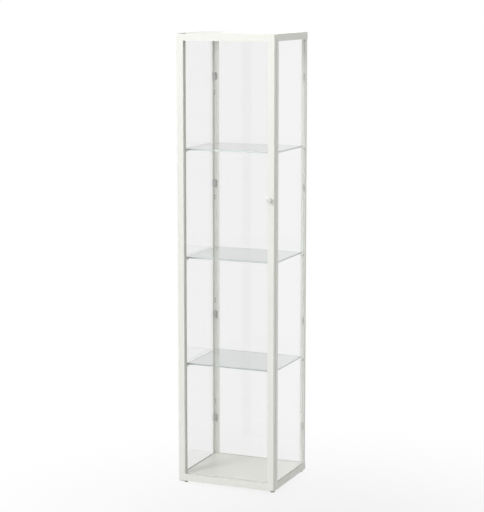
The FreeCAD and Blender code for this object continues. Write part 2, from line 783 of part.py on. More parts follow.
def make_hinges():
    """Folded hinge brackets on the front rails, whose tongues carry the pivot pins at the door's ends."""
    bracket = new_body("hinge_bracket_bottom", "pivot_x", "front_y", "foot_height")
    left, right = "-pivot_inset", "stile_width - pivot_inset"
    tip = "tongue_setback - door_gap - door_thick"
    leg = new_sketch(bracket, "XY_Plane")
    rectangle(leg, left, "-hinge_gauge", right, "0")
    pad(bracket, leg, "hinge_leg_height")
    tongue = new_sketch(bracket, "XY_Plane")
    rectangle(tongue, left, tip, right, "0")
    pad(bracket, tongue, "hinge_gauge")
    corners = [lies_at(x=left, y=tip), lies_at(x=right, y=tip)]
    round_edges(bracket, "tongue_round", lambda edge: any(corner(edge) for corner in corners))
    round_edges(bracket, "hinge_gauge / 2", lies_at(y="-hinge_gauge", z="hinge_gauge"))
    round_edges(bracket, "hinge_gauge", lies_at(y="0", z="0"))
    pin_seat = new_sketch(bracket, "XY_Plane")
    circle(pin_seat, "0", "-door_gap - door_thick / 2", "pin_diameter + 2 * pin_clearance")
    pocket(bracket, pin_seat, "2 * (hinge_gauge + overrun)")
    holes = new_sketch(bracket, "XZ_Plane")
    for step in ("0", "hinge_screw_spacing"):
        circle(holes, f"hinge_screw_offset + {step}", "hinge_screw_height",
               "hinge_screw_diameter + screw_clearance")
    pocket(bracket, holes, "2 * (hinge_gauge + overrun)")

    length = "door_end_reveal + pin_reach"
    pin = turned("hinge_pin_bottom", [
        ("0", "0"), ("pin_diameter / 2", "0"), ("pin_diameter / 2", f"{length} - pin_point"),
        ("pin_diameter / 2 - pin_point", length), ("0", length),
    ], "pivot_x", "pivot_y", "foot_height")
    screw = turned("hinge_screw", [
        ("0", "-hinge_screw_grip"), ("hinge_screw_diameter / 2", "-hinge_screw_grip"),
        ("hinge_screw_diameter / 2", "0"), ("hinge_screw_head_diameter / 2", "0"),
        ("hinge_screw_head_diameter / 2", "hinge_screw_head_height"), ("0", "hinge_screw_head_height"),
    ], "hinge_screw_x", "front_y - hinge_gauge", "foot_height + hinge_screw_height", FACING_FRONT)
    for name, piece in (("hinge_bracket", bracket), ("hinge_pin", pin)):
        keep(piece, f"{name}_bottom")
        keep(mirrored(piece, Z_NORMAL), f"{name}_top")
    group("hinge_screws", with_twins([screw, moved(screw, x="hinge_screw_spacing")], Z_NORMAL))


def make_knob():
    """A turned knob on the stile, held by a screw from behind."""
    bore = "(knob_screw_diameter + screw_clearance) / 2"
    rim_back = "knob_reach - knob_rim"
    knob = turned("knob", [
        (bore, "0"), ("knob_base_diameter / 2", "0"), ("knob_neck_diameter / 2", "knob_neck_length"),
        ("knob_diameter / 2", rim_back), ("knob_diameter / 2", "knob_reach"), ("0", "knob_reach"),
        ("0", "knob_bore_depth"), (bore, "knob_bore_depth"),
    ], "knob_x", "door_front_y", "knob_z", FACING_FRONT)
    round_edges(knob, "knob_front_radius", lies_at(z="knob_reach"))
    round_edges(knob, "knob_back_radius", lies_at(z=rim_back))
    round_edges(knob, "knob_neck_radius", lies_at(z="knob_neck_length"))
    keep(knob, "knob")
    length = "door_thick + knob_screw_engagement"
    screw = turned("knob_screw", [
        ("0", "-knob_screw_head_height"), ("knob_screw_head_diameter / 2", "-knob_screw_head_height"),
        ("knob_screw_head_diameter / 2", "0"), ("knob_screw_diameter / 2", "0"),
        ("knob_screw_diameter / 2", length), ("0", length),
    ], "knob_x", "door_back_y", "knob_z", FACING_FRONT)
    keep(screw, "knob_screw")


def make_catch():
    """A magnet in a cup pushed into the front post, which draws the steel stile, and two bumpers."""
    mouth = "sheet_gauge + door_gap - catch_gap"
    foot = "-post_gauge - cup_boss_length"
    recess = "(magnet_diameter + screw_clearance) / 2"
    cup = turned("magnet_cup", [
        ("0", foot), ("cup_boss_diameter / 2", foot), ("cup_boss_diameter / 2", "0"),
        ("cup_diameter / 2", "0"), ("cup_diameter / 2", mouth), (recess, mouth),
        (recess, f"{mouth} - magnet_thick"), ("0", f"{mouth} - magnet_thick"),
    ], "knob_x", "post_front", "catch_z", FACING_FRONT)
    keep(cup, "magnet_cup")
    keep(rod("magnet", "magnet_diameter", "magnet_thick", "knob_x",
             f"post_front - ({mouth}) + magnet_thick", "catch_z", FACING_FRONT), "magnet")
    top = "door_gap - bumper_gap"
    bumper = turned("bumper", [
        ("0", "0"), ("bumper_diameter / 2", "0"), ("bumper_diameter / 2", top), ("0", top),
    ], "knob_x", "front_y", "foot_height + rail_height / 2", FACING_FRONT)
    round_edges(bumper, "bumper_edge_radius", lies_at(z=top))
    group("door_bumpers", with_twins([bumper], Z_NORMAL))


# Feet


def make_feet():
    """Moulded feet: a round pad that tapers a little upwards, and a stem pressed into the lip."""
    sole, stem = "foot_diameter / 2", "foot_stem_diameter / 2"
    shoulder = f"({sole} - foot_taper)"
    foot = turned("foot_front_left", [
        ("0", "0"), (sole, "0"), (shoulder, "foot_height"), (stem, "foot_height"), (stem, "lip_top"),
        ("0", "lip_top"),
    ], "foot_side_inset - half_width", "front_y + foot_end_inset")
    round_edges(foot, "foot_edge_radius", lies_at(z="0"))
    names = ["foot_front_left", "foot_front_right", "foot_back_left", "foot_back_right"]
    for piece, name in zip(with_twins([foot], X_NORMAL, Y_NORMAL), names):
        keep(piece, name)


def build():
    """Make every sub-part."""
    make_top_tray()
    make_base_frame()
    make_base_panel()
    make_posts()
    make_frame_fasteners()
    make_panes()
    make_glass_clips()
    make_shelves()
    make_door_frame()
    make_door_glass()
    make_stile_plugs()
    make_hinges()
    make_knob()
    make_catch()
    make_feet()


build()
doc.recompute()
for piece in doc.Objects:
    if {"Invalid", "Error"} & set(piece.State):
        raise RuntimeError(f"{piece.Label} failed: {piece.State}")
for node in nodes:
    if node.Shape.isNull() or not node.Shape.isValid():
        raise RuntimeError(f"{node.Label} has no valid shape")
os.makedirs("parts", exist_ok=True)
for node in nodes:
    node.Shape.exportStep(f"parts/{node.Label}.step")
    print(node.Label, len(node.Shape.Solids), round(node.Shape.Volume, 1))
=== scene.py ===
"""Looks of the display cabinet: finishes, fixings, studio and camera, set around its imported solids.

Metres throughout. The cabinet stands on z = 0 with its door towards -Y, and every piece is
modelled in place, so each object sits at the origin.
"""

import functools
import logging
import math
from dataclasses import dataclass
from enum import Enum
from typing import Iterable, Optional, Union

import bmesh
import bpy
from mathutils import Matrix, Vector


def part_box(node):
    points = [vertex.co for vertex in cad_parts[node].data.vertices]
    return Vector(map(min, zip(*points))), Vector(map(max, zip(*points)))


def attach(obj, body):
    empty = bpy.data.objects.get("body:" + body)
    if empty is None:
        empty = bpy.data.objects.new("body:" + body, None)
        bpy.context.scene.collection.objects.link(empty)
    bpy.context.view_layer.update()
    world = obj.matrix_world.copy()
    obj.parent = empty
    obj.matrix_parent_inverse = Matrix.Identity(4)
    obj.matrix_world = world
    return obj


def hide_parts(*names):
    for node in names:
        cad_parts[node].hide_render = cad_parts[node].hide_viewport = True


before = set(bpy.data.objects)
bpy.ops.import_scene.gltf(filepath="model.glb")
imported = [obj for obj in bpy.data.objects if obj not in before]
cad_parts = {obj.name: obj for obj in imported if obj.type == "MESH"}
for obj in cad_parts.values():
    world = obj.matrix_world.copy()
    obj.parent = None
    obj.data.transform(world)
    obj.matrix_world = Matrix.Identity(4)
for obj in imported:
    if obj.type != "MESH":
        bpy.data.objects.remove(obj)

log = logging.getLogger("display_cabinet")

Rgb = tuple[float, float, float]
Triple = tuple[float, float, float]
MM = 0.001
PLAIN = 1.0  # Finer layers of a plain noise


class Axis(Enum):
    """The frame's three directions."""

    X = 0
    Y = 1
    Z = 2


class Body(Enum):
    """The cabinet's two moving bodies."""

    CARCASS = "carcass"
    DOOR = "door"


class Slot(Enum):
    """The record's material slots named for new pieces; a set of fixings holds one, but nothing reads
    it, and its finish is given apart.
    """

    ZINC_STEEL = "zinc_steel"
    RUBBER = "rubber"


# Shader sockets as Python values


class Signal:
    """A shader socket that takes part in Python arithmetic; each operation adds a Math node."""

    def __init__(self, net: "ShaderNet", socket: bpy.types.NodeSocket) -> None:
        """Hold a socket and the net that it belongs to.

        Args:
            net: The net that new nodes go into.
            socket: The output socket that carries the value.
        """
        self.net = net
        self.socket = socket

    def __add__(self, other: "Number") -> "Signal":
        """Sum of the two values."""
        return self.net.maths("ADD", self, other)

    __radd__ = __add__

    def __sub__(self, other: "Number") -> "Signal":
        """This value less the other."""
        return self.net.maths("SUBTRACT", self, other)

    def __rsub__(self, other: "Number") -> "Signal":
        """The other value less this one."""
        return self.net.maths("SUBTRACT", other, self)

    def __mul__(self, other: "Number") -> "Signal":
        """Product of the two values."""
        return self.net.maths("MULTIPLY", self, other)

    __rmul__ = __mul__

    def __pow__(self, other: "Number") -> "Signal":
        """This value raised to the other."""
        return self.net.maths("POWER", self, other)

    def __abs__(self) -> "Signal":
        """Size of the value without its sign."""
        return self.net.maths("ABSOLUTE", self)

    def most(self, other: "Number") -> "Signal":
        """The larger of the two values."""
        return self.net.maths("MAXIMUM", self, other)

    def above(self, level: "Number") -> "Signal":
        """One where the value is above a level, and zero elsewhere."""
        return self.net.maths("GREATER_THAN", self, level)

    def ramp(self, low: float, high: float) -> "Signal":
        """A smooth rise from zero to one.

        Args:
            low: Value where it starts.
            high: Value where it ends.

        Returns:
            The rise.
        """
        made = self.net.node("ShaderNodeMapRange", {"interpolation_type": "SMOOTHSTEP"},
                             {"Value": self, "From Min": low, "From Max": high})
        return Signal(self.net, made.outputs["Result"])

    def swing(self, width: float) -> "Signal":
        """A value between zero and one as a swing about zero, this wide in all."""
        return (self - 0.5) * width

    def joined(self, other: "Signal", share: float) -> "Signal":
        """This value mixed with a share of another."""
        return self * (1 - share) + other * share


Number = Union[Signal, float]


class ShaderNet:
    """The node tree of one material or of the world, filled through a few plain calls."""

    COLOUR_A, COLOUR_B, COLOUR_OUT = 6, 7, 2

    def __init__(self, tree: bpy.types.NodeTree) -> None:
        """Take over a node tree and empty it.

        Args:
            tree: The tree to fill.
        """
        self.tree = tree
        tree.nodes.clear()

    @classmethod
    def for_material(cls, name: str) -> tuple[bpy.types.Material, "ShaderNet"]:
        """Start a material with an empty net.

        Args:
            name: The material's name.

        Returns:
            The material and its net.
        """
        material = bpy.data.materials.new(name)
        material.use_nodes = True
        return material, cls(material.node_tree)

    def node(self, kind: str, settings: Optional[dict] = None,
             sockets: Optional[dict] = None) -> bpy.types.Node:
        """Add a node.

        Args:
            kind: The node's type name.
            settings: Properties of the node, set first.
            sockets: Values or links of its inputs, by name or index.

        Returns:
            The node.
        """
        made = self.tree.nodes.new(kind)
        for key, setting in (settings or {}).items():
            setattr(made, key, setting)
        for key, given in (sockets or {}).items():
            if isinstance(given, Signal):
                self.tree.links.new(given.socket, made.inputs[key])
            elif isinstance(given, bpy.types.NodeSocket):
                self.tree.links.new(given, made.inputs[key])
            else:
                made.inputs[key].default_value = given
        return made

    def maths(self, operation: str, *given: Number) -> Signal:
        """Add one Math node.

        Args:
            operation: The node's operation.
            given: Its values, in order.

        Returns:
            The result.
        """
        made = self.node("ShaderNodeMath", {"operation": operation}, dict(enumerate(given)))
        return Signal(self, made.outputs[0])

    def mixed(self, share: Number, first: Union[Rgb, Signal], second: Union[Rgb, Signal]) -> Signal:
        """Mix two colours.

        Args:
            share: How much of the second colour there is.
            first: Colour at zero.
            second: Colour at one.

        Returns:
            The mixed colour.
        """
        ends = [tint if isinstance(tint, Signal) else (*tint, 1.0) for tint in (first, second)]
        made = self.node("ShaderNodeMix", {"data_type": "RGBA"},
                         {0: share, self.COLOUR_A: ends[0], self.COLOUR_B: ends[1]})
        return Signal(self, made.outputs[self.COLOUR_OUT])

    def place(self) -> Signal:
        """The point on the surface, in the cabinet's frame."""
        return Signal(self, self.node("ShaderNodeTexCoord").outputs["Object"])

    def split(self, vector: Signal) -> tuple[Signal, Signal, Signal]:
        """The three parts of a vector.

        Args:
            vector: The vector.

        Returns:
            Its x, y and z.
        """
        made = self.node("ShaderNodeSeparateXYZ", sockets={0: vector})
        return tuple(Signal(self, output) for output in made.outputs)

    def stretched(self, vector: Signal, factors: Triple) -> Signal:
        """A vector with each part multiplied.

        Args:
            vector: The vector.
            factors: One factor for each part.

        Returns:
            The product.
        """
        made = self.node("ShaderNodeVectorMath", {"operation": "MULTIPLY"}, {0: vector, 1: factors})
        return Signal(self, made.outputs[0])

    def noise(self, vector: Signal, scale: float, detail: float = 2.0,
              rough: float = 0.5) -> Signal:
        """Cloudy noise between zero and one.

        Args:
            vector: Where it is read.
            scale: Clouds to the metre.
            detail: Number of finer layers.
            rough: Strength of the finer layers.

        Returns:
            The noise.
        """
        made = self.node("ShaderNodeTexNoise", sockets={
            "Vector": vector, "Scale": scale, "Detail": detail, "Roughness": rough})
        return Signal(self, made.outputs[0])

    def cells(self, vector: Signal, scale: float) -> Signal:
        """Distance to the nearest point of a scattered set.

        Args:
            vector: Where it is read.
            scale: Points to the metre.

        Returns:
            The distance, in cells.
        """
        made = self.node("ShaderNodeTexVoronoi", sockets={"Vector": vector, "Scale": scale})
        return Signal(self, made.outputs["Distance"])

    def bump(self, height: Signal, depth: float) -> Signal:
        """A normal bent by a relief.

        Args:
            height: The relief, from zero to one.
            depth: Its depth in metres.

        Returns:
            The normal.
        """
        made = self.node("ShaderNodeBump", sockets={
            "Height": height, "Distance": depth, "Strength": 1.0})
        return Signal(self, made.outputs[0])

    def any_ray(self, *names: str) -> Signal:
        """One for rays of any of some kinds, and zero for others.

        Args:
            names: Outputs of the Light Path node.

        Returns:
            One or zero.
        """
        path = self.node("ShaderNodeLightPath").outputs
        return functools.reduce(Signal.most, [Signal(self, path[name]) for name in names])

    def seen_directly(self) -> Signal:
        """One for rays that show the picture: from the camera, a mirroring surface or glass."""
        return self.any_ray("Is Camera Ray", "Is Glossy Ray", "Is Transmission Ray")

    def surface(self, sockets: dict) -> bpy.types.NodeSocket:
        """A Principled surface with these inputs."""
        return self.node("ShaderNodeBsdfPrincipled", sockets=sockets).outputs[0]

    def blend(self, share: Signal, first: bpy.types.NodeSocket,
              second: bpy.types.NodeSocket) -> bpy.types.NodeSocket:
        """Mix two shaders.

        Args:
            share: How much of the second there is.
            first: Shader at zero.
            second: Shader at one.

        Returns:
            The mixed shader's socket.
        """
        return self.node("ShaderNodeMixShader", sockets={0: share, 1: first, 2: second}).outputs[0]

    def show(self, shader: bpy.types.NodeSocket, kind: str = "ShaderNodeOutputMaterial") -> None:
        """Link a shader to the output.

        Args:
            shader: The shader's socket.
            kind: The output node's type name.
        """
        self.node(kind, sockets={"Surface": shader})


# Finishes


class Finish:
    """A surface finish; subclasses say how it is made of nodes."""

    name: str

    def compose(self, net: ShaderNet) -> bpy.types.NodeSocket:
        """Fill the net and return the shader's socket."""
        raise NotImplementedError

    def material(self) -> bpy.types.Material:
        """The finish as a material, made at its first use.

        Returns:
            The material.
        """
        known = bpy.data.materials.get(self.name)
        if known:
            return known
        made, net = ShaderNet.for_material(self.name)
        net.show(self.compose(net))
        return made


def toned(tone: Rgb, share: float) -> Rgb:
    """A colour with each part multiplied."""
    return tuple(part * share for part in tone)


@dataclass(frozen=True)
class PowderCoat(Finish):
    """Fine powder coat on steel: a soft sheen over a faint orange-peel relief."""

    name: str
    tone: Rgb
    roughness: float = 0.42
    index: float = 1.5
    tone_drift: float = 0.02
    cloud_scale: float = 7.0
    cloud_layers: float = 3.0
    cloud_swing: float = 0.12
    peel_pitch: float = 1.4 * MM
    peel_depth: float = 0.02 * MM
    grits_per_peel: float = 6.0
    grit_share: float = 0.3
    grit_swing: float = 0.1

    def compose(self, net: ShaderNet) -> bpy.types.NodeSocket:
        """Tone and sheen that drift over decimetres, and a relief of about a millimetre.

        Args:
            net: The net to fill.

        Returns:
            The shader's socket.
        """
        spot = net.place()
        cloud = net.noise(spot, self.cloud_scale, self.cloud_layers)
        peel = net.noise(spot, 1 / self.peel_pitch, PLAIN)
        grit = net.noise(spot, self.grits_per_peel / self.peel_pitch, PLAIN)
        shade = toned(self.tone, 1 - self.tone_drift)
        sheen = self.roughness + cloud.swing(self.cloud_swing) + grit.swing(self.grit_swing)
        return net.surface({
            "Base Color": net.mixed(cloud.joined(grit, self.grit_share), shade, self.tone),
            "Roughness": sheen,
            "Normal": net.bump(peel.joined(grit, self.grit_share), self.peel_depth),
            "IOR": self.index,
        })


@dataclass(frozen=True)
class MouldedPlastic(Finish):
    """Moulded plastic with a spark-eroded texture."""

    name: str
    tone: Rgb
    roughness: float = 0.5
    dark_share: float = 0.94
    flow_scale: float = 160.0
    flow_stretch: Triple = (1.0, 1.0, 0.3)
    pit_pitch: float = 0.4 * MM
    pit_depth: float = 0.012 * MM
    pit_share: float = 0.4
    pit_swing: float = 0.2

    def compose(self, net: ShaderNet) -> bpy.types.NodeSocket:
        """Fine pits in tone, sheen and relief, with faint flow marks.

        Args:
            net: The net to fill.

        Returns:
            The shader's socket.
        """
        spot = net.place()
        flow = net.noise(net.stretched(spot, self.flow_stretch), self.flow_scale)
        pits = net.noise(spot, 1 / self.pit_pitch)
        dark = toned(self.tone, self.dark_share)
        return net.surface({
            "Base Color": net.mixed(flow.joined(pits, self.pit_share), dark, self.tone),
            "Roughness": self.roughness + pits.swing(self.pit_swing),
            "Normal": net.bump(pits, self.pit_depth),
        })


@dataclass(frozen=True)
class PlatedSteel(Finish):
    """Zinc-plated steel with drawn lines and a faint bluish cast in patches."""

    name: str
    tone: Rgb
    cast: Rgb
    roughness: float = 0.32
    patch_scale: float = 260.0
    patch_layers: float = 3.0
    patch_swing: float = 0.15
    line_scale: float = 4200.0
    line_stretch: Triple = (1.0, 0.12, 1.0)
    line_depth: float = 0.006 * MM
    line_swing: float = 0.12

    def compose(self, net: ShaderNet) -> bpy.types.NodeSocket:
        """Patches of passivation over fine drawn lines.

        Args:
            net: The net to fill.

        Returns:
            The shader's socket.
        """
        spot = net.place()
        patches = net.noise(spot, self.patch_scale, self.patch_layers)
        lines = net.noise(net.stretched(spot, self.line_stretch), self.line_scale)
        sheen = self.roughness + patches.swing(self.patch_swing) + lines.swing(self.line_swing)
        return net.surface({
            "Base Color": net.mixed(patches, self.tone, self.cast),
            "Roughness": sheen,
            "Normal": net.bump(lines, self.line_depth),
            "Metallic": 1.0,
        })


@dataclass(frozen=True)
class GlassSort:
    """Tints of a sort of glass, through a sheet and along its edges."""

    face: Rgb
    edge: Rgb


@dataclass(frozen=True)
class FloatGlass(Finish):
    """Clear float glass in a sheet: almost no colour through its faces, grey-green edges."""

    name: str
    low: Triple
    high: Triple
    thin: Axis
    sort: GlassSort
    index: float = 1.5
    edge_reach: float = 0.75 * MM
    edge_sheen: float = 0.85
    edge_rough: float = 0.5
    # Reach and strength of the painted edge glow on the faces.
    painted_glow_reach: float = 14 * MM
    painted_glow_share: float = 0.25
    wipe_scale: float = 9.0
    wipe_stretch: Triple = (1.0, 1.0, 0.35)
    wipe_layers: float = 4.0
    wipe_crispness: float = 0.6
    wipe_from: float = 0.45
    wipe_to: float = 0.8
    wipe_haze: float = 0.012
    lamp_tint: Rgb = (0.98, 0.98, 0.98)

    def rim(self, net: ShaderNet, reach: float) -> Signal:
        """How far past the start of the sheet's border a point is.

        Args:
            net: The net to add to.
            reach: Width of the border.

        Returns:
            Metres past the border's inner line, negative inside it.
        """
        past = None
        for axis, along in zip(Axis, net.split(net.place())):
            if axis is self.thin:
                continue
            low, high = self.low[axis.value], self.high[axis.value]
            over = abs(along - (low + high) / 2) - ((high - low) / 2 - reach)
            past = over if past is None else past.most(over)
        return past

    def compose(self, net: ShaderNet) -> bpy.types.NodeSocket:
        """Glass with tinted, ground edges, a painted edge glow that darkens and greens the faces near
        the border, and faint wipe marks, which lets lamp light through.

        Args:
            net: The net to fill.

        Returns:
            The shader's socket.
        """
        edge = self.rim(net, self.edge_reach).above(0.0)
        # Painted edge glow: within this reach of the border the faces take part of the edge tint.
        glow = self.rim(net, self.painted_glow_reach).ramp(0.0, self.painted_glow_reach)
        wipes = net.noise(net.stretched(net.place(), self.wipe_stretch), self.wipe_scale,
                          self.wipe_layers, self.wipe_crispness)
        painted_glow_tint = tuple(through * (1 - self.painted_glow_share) + along * self.painted_glow_share
                          for through, along in zip(self.sort.face, self.sort.edge))
        face = net.mixed(glow * glow, self.sort.face, painted_glow_tint)
        haze = wipes.ramp(self.wipe_from, self.wipe_to) * self.wipe_haze
        glass = net.surface({
            "Base Color": net.mixed(edge, face, self.sort.edge),
            "Roughness": haze + edge * self.edge_rough,
            "Metallic": edge * self.edge_sheen,
            "Transmission Weight": 1.0,
            "IOR": self.index,
        })
        clear = net.node("ShaderNodeBsdfTransparent", sockets={"Color": (*self.lamp_tint, 1.0)})
        passing = net.any_ray("Is Shadow Ray", "Is Diffuse Ray")
        return net.blend(passing, glass, clear.outputs[0])


@dataclass(frozen=True)
class SoftPad(Finish):
    """Soft translucent pad material."""

    name: str
    tone: Rgb
    roughness: float = 0.3
    index: float = 1.42
    clearness: float = 0.35
    milky_share: float = 0.9
    haze_scale: float = 500.0
    haze_rise: float = 0.2
    haze_depth: float = 0.02 * MM

    def compose(self, net: ShaderNet) -> bpy.types.NodeSocket:
        """Cloudy, part see-through plastic with a tacky sheen.

        Args:
            net: The net to fill.

        Returns:
            The shader's socket.
        """
        haze = net.noise(net.place(), self.haze_scale)
        return net.surface({
            "Base Color": net.mixed(haze, toned(self.tone, self.milky_share), self.tone),
            "Roughness": self.roughness + haze * self.haze_rise,
            "Normal": net.bump(haze, self.haze_depth),
            "Transmission Weight": self.clearness,
            "IOR": self.index,
        })


@dataclass(frozen=True)
class FoamTape(Finish):
    """Closed-cell foam tape."""

    name: str
    tone: Rgb
    roughness: float = 0.8
    dark_share: float = 0.8
    cell_pitch: float = 0.35 * MM
    cell_depth: float = 0.08 * MM
    cell_rise: float = 0.15

    def compose(self, net: ShaderNet) -> bpy.types.NodeSocket:
        """Small open cells in tone and relief.

        Args:
            net: The net to fill.

        Returns:
            The shader's socket.
        """
        cells = net.cells(net.place(), 1 / self.cell_pitch)
        return net.surface({
            "Base Color": net.mixed(cells, toned(self.tone, self.dark_share), self.tone),
            "Roughness": self.roughness + cells * self.cell_rise,
            "Normal": net.bump(cells, self.cell_depth),
        })


@dataclass(frozen=True)
class MattRubber(Finish):
    """Matt black rubber with a dusting of bloom."""

    name: str
    tone: Rgb
    roughness: float = 0.72
    bloom_share: float = 1.9
    bloom_scale: float = 120.0
    bloom_layers: float = 3.0
    bloom_from: float = 0.4
    bloom_to: float = 0.8
    grain_scale: float = 2600.0
    grain_swing: float = 0.2
    grain_depth: float = 0.03 * MM

    def compose(self, net: ShaderNet) -> bpy.types.NodeSocket:
        """Bloom in patches over a fine grain.

        Args:
            net: The net to fill.

        Returns:
            The shader's socket.
        """
        spot = net.place()
        bloom = net.noise(spot, self.bloom_scale, self.bloom_layers)
        grain = net.noise(spot, self.grain_scale, PLAIN)
        dusty = bloom.ramp(self.bloom_from, self.bloom_to)
        return net.surface({
            "Base Color": net.mixed(dusty, self.tone, toned(self.tone, self.bloom_share)),
            "Roughness": self.roughness + grain.swing(self.grain_swing),
            "Normal": net.bump(grain, self.grain_depth),
        })


@dataclass(frozen=True)
class SinteredCore(Finish):
    """Dark sintered magnet material."""

    name: str
    tone: Rgb
    roughness: float = 0.45
    pale_share: float = 2.2
    grain_scale: float = 2200.0
    grain_rise: float = 0.3
    grain_depth: float = 0.02 * MM
    shine_from: float = 0.1
    shine_to: float = 0.6

    def compose(self, net: ShaderNet) -> bpy.types.NodeSocket:
        """Grains that differ in tone and shine.

        Args:
            net: The net to fill.

        Returns:
            The shader's socket.
        """
        grains = net.cells(net.place(), self.grain_scale)
        return net.surface({
            "Base Color": net.mixed(grains, self.tone, toned(self.tone, self.pale_share)),
            "Roughness": self.roughness + grains * self.grain_rise,
            "Metallic": grains.ramp(self.shine_from, self.shine_to),
            "Normal": net.bump(grains, self.grain_depth),
        })


WHITE_STEEL = PowderCoat("white_powder_coat", (0.86, 0.87, 0.81))
DOOR_STEEL = PowderCoat("door_powder_coat", (0.865, 0.875, 0.815))
# The knob's coat is the door's off-white darkened to grey: painted shade on the knob.
SHADED_KNOB_COAT = PowderCoat("knob_coat_painted_shade", (0.75, 0.76, 0.74), roughness=0.36)
ZINC = PlatedSteel("zinc_plate", (0.62, 0.63, 0.64), (0.56, 0.59, 0.63))
WHITE_PLASTIC = MouldedPlastic("white_moulding", (0.83, 0.83, 0.81))
# The feet's own grey; on the glass clips, which are light, the same grey is painted shade.
GREY_PLASTIC_AND_CLIP_SHADE = MouldedPlastic("grey_moulding_and_clip_shade", (0.47, 0.475, 0.465), roughness=0.6)
CLEAR_PAD = SoftPad("clear_soft_pad", (0.8, 0.81, 0.8))
TAPE = FoamTape("white_foam_tape", (0.84, 0.84, 0.82))
RUBBER = MattRubber("black_rubber", (0.03, 0.03, 0.03))
MAGNET = SinteredCore("magnet_core", (0.06, 0.06, 0.065))
PANE = GlassSort(face=(0.935, 0.935, 0.935), edge=(0.7, 0.78, 0.75))
SHELF = GlassSort(face=(0.96, 0.98, 0.975), edge=(0.52, 0.57, 0.56))


def dress(nodes: Iterable[str], finish: Finish) -> None:
    """Give solids a finish.

    Args:
        nodes: Names of the solids.
        finish: What they get.
    """
    for name in nodes:
        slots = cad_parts[name].data.materials
        slots.clear()
        slots.append(finish.material())
        log.info("%s dressed in %s", name, finish.name)


def glaze(nodes: Iterable[str], thin: Axis, sort: GlassSort) -> None:
    """Give sheets of glass a finish whose edges follow each sheet's own box.

    Args:
        nodes: Names of the sheets.
        thin: Direction of their thickness.
        sort: The sort of glass.
    """
    for name in nodes:
        low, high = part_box(name)
        dress([name], FloatGlass(f"{name}_float", tuple(low), tuple(high), thin, sort))


# Modelling


def stand(name: str, bm: bmesh.types.BMesh, finish: Finish) -> bpy.types.Object:
    """Turn a finished mesh into an object of the scene, at the origin.

    Args:
        name: The object's name.
        bm: The mesh, which is used up.
        finish: What the object gets.

    Returns:
        The object.
    """
    mesh = bpy.data.meshes.new(name)
    bm.to_mesh(mesh)
    bm.free()
    mesh.materials.append(finish.material())
    made = bpy.data.objects.new(name, mesh)
    bpy.context.scene.collection.objects.link(made)
    return made


class Turning:
    """A shape modelled about +Z, as rings from its crown outwards."""

    sides = 24

    def rings(self) -> list[tuple[float, float]]:
        """Radius and level of each ring, the crown's rim first."""
        raise NotImplementedError

    def work_crown(self, bm: bmesh.types.BMesh, before: set, crown: float) -> None:
        """Leave the crown flat."""

    def model(self, bm: bmesh.types.BMesh) -> list[bmesh.types.BMVert]:
        """Model the shape from its crown's rim to its closed end.

        Args:
            bm: The mesh to add to.

        Returns:
            The new vertices.
        """
        before = set(bm.verts)
        (radius, level), *rest = self.rings()
        bmesh.ops.create_circle(bm, cap_ends=True, segments=self.sides, radius=radius,
                                matrix=Matrix.Translation((0, 0, level)))
        self.work_crown(bm, before, radius)
        rim = [edge for edge in bm.edges if edge.is_boundary and not before & set(edge.verts)]
        for next_radius, next_level in rest:
            rim = self.grow(bm, rim, next_radius / radius, next_level - level)
            radius, level = next_radius, next_level
        bmesh.ops.holes_fill(bm, edges=rim, sides=0)
        fresh = [vert for vert in bm.verts if vert not in before]
        faces = {face for vert in fresh for face in vert.link_faces}
        bmesh.ops.recalc_face_normals(bm, faces=list(faces))
        return fresh

    @staticmethod
    def grow(bm: bmesh.types.BMesh, rim: list, scale: float, rise: float) -> list:
        """Extrude an open rim about the Z axis.

        Args:
            bm: The mesh.
            rim: Edges of the rim.
            scale: How much wider the new rim is.
            rise: How far it lies above the old one.

        Returns:
            The new rim's edges.
        """
        made = bmesh.ops.extrude_edge_only(bm, edges=rim)["geom"]
        verts = [item for item in made if isinstance(item, bmesh.types.BMVert)]
        bmesh.ops.scale(bm, vec=(scale, scale, 1.0), verts=verts)
        bmesh.ops.translate(bm, vec=(0, 0, rise), verts=verts)
        return [item for item in made if isinstance(item, bmesh.types.BMEdge) and item.is_boundary]


